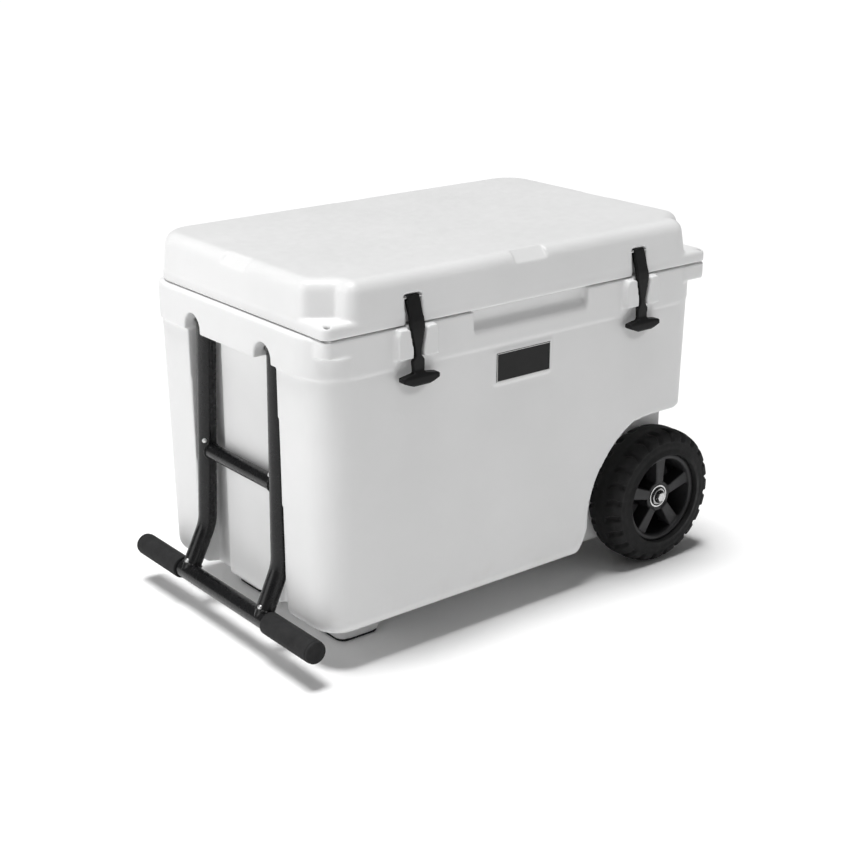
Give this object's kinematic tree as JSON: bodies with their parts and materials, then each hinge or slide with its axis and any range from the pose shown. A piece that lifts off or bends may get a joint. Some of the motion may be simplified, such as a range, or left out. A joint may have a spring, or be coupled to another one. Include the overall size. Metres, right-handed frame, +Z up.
{
  "type": "wheeled cooler",
  "caption": "Insulated hard-sided cooler with hinged lid, T-latches, lift-up pull handle, rubber-tyred wheels and a screw-out drain plug.",
  "frame": {"origin": "on the floor, in the middle of the overall plan", "axes": "+Z up, +X towards the wheel end, -Y towards the latches, +Y towards the lid hinge"},
  "size_m": [0.7108, 0.4317, 0.492],
  "materials": {
    "shell_white": "satin, fine moulded texture",
    "liner_white": "satin",
    "foam": "matte foam",
    "seal_rubber": "matte",
    "pad_rubber": "matte",
    "badge_black": "satin",
    "steel": "machined",
    "handle_paint": "semi-gloss powder coat",
    "grip_foam": "matte",
    "latch_rubber": "satin rubber",
    "tyre_rubber": "matte",
    "rim_plastic": "satin",
    "bearing_steel": "ground",
    "drain_white": "satin"
  },
  "bodies": {
    "tub": {"outer_shell": "shell_white", "insulation_foam": "foam", "inner_liner": "liner_white", "foot_pads": "pad_rubber", "badge_plate": "badge_black", "hinge_rods": "steel", "axle": "steel", "axle_washers": "steel", "axle_bolts": "steel", "handle_pins": "steel", "drain_insert": "drain_white"},
    "lid": {"lid_shell": "shell_white", "lid_liner": "liner_white", "lid_gasket": "seal_rubber", "latch_pins": "steel"},
    "latch_left": {"latch_left": "latch_rubber"},
    "latch_right": {"latch_right": "latch_rubber"},
    "handle": {"arm_front": "handle_paint", "arm_rear": "handle_paint", "cross_tube": "handle_paint", "pull_bar": "handle_paint", "grip_front": "grip_foam", "grip_rear": "grip_foam", "bar_end_caps": "grip_foam"},
    "wheel_front": {"tyre_front": "tyre_rubber", "rim_front": "rim_plastic", "bearings_front": "bearing_steel"},
    "wheel_rear": {"tyre_rear": "tyre_rubber", "rim_rear": "rim_plastic", "bearings_rear": "bearing_steel"},
    "drain_seal": {"drain_seal": "seal_rubber"},
    "drain_plug": {"drain_plug": "drain_white"}
  },
  "joints": [
    {"name": "lid_hinge", "type": "hinge", "parent": "tub", "child": "lid", "pos_m": [0, 0.2083, 0.43], "axis": [-1, 0, 0], "range_deg": [0, 100]},
    {"name": "latch_left_hinge", "type": "hinge", "parent": "lid", "child": "latch_left", "pos_m": [-0.187, -0.1955, 0.4625], "axis": [-1, 0, 0], "range_deg": [0, 90]},
    {"name": "latch_right_hinge", "type": "hinge", "parent": "lid", "child": "latch_right", "pos_m": [0.187, -0.1955, 0.4625], "axis": [-1, 0, 0], "range_deg": [0, 90]},
    {"name": "handle_pivot", "type": "hinge", "parent": "tub", "child": "handle", "pos_m": [-0.3032, 0, 0.3915], "axis": [0, 1, 0], "range_deg": [0, 90]},
    {"name": "wheel_front_spin", "type": "hinge", "parent": "tub", "child": "wheel_front", "pos_m": [0.2564, -0.171, 0.0975], "axis": [0, 1, 0], "continuous": true},
    {"name": "wheel_rear_spin", "type": "hinge", "parent": "tub", "child": "wheel_rear", "pos_m": [0.2564, 0.171, 0.0975], "axis": [0, 1, 0], "continuous": true},
    {"name": "drain_draw", "type": "slide", "parent": "tub", "child": "drain_seal", "axis": [1, 0, 0], "range_m": [0, 0.018]},
    {"name": "drain_turn", "type": "hinge", "parent": "drain_seal", "child": "drain_plug", "pos_m": [0.32, 0, 0.123], "axis": [-1, 0, 0], "range_deg": [0, 1620]}
  ],
  "couplings": [
    {"joint": "drain_draw", "follows": "drain_turn", "m_per_rad": 0.00063662}
  ]
}
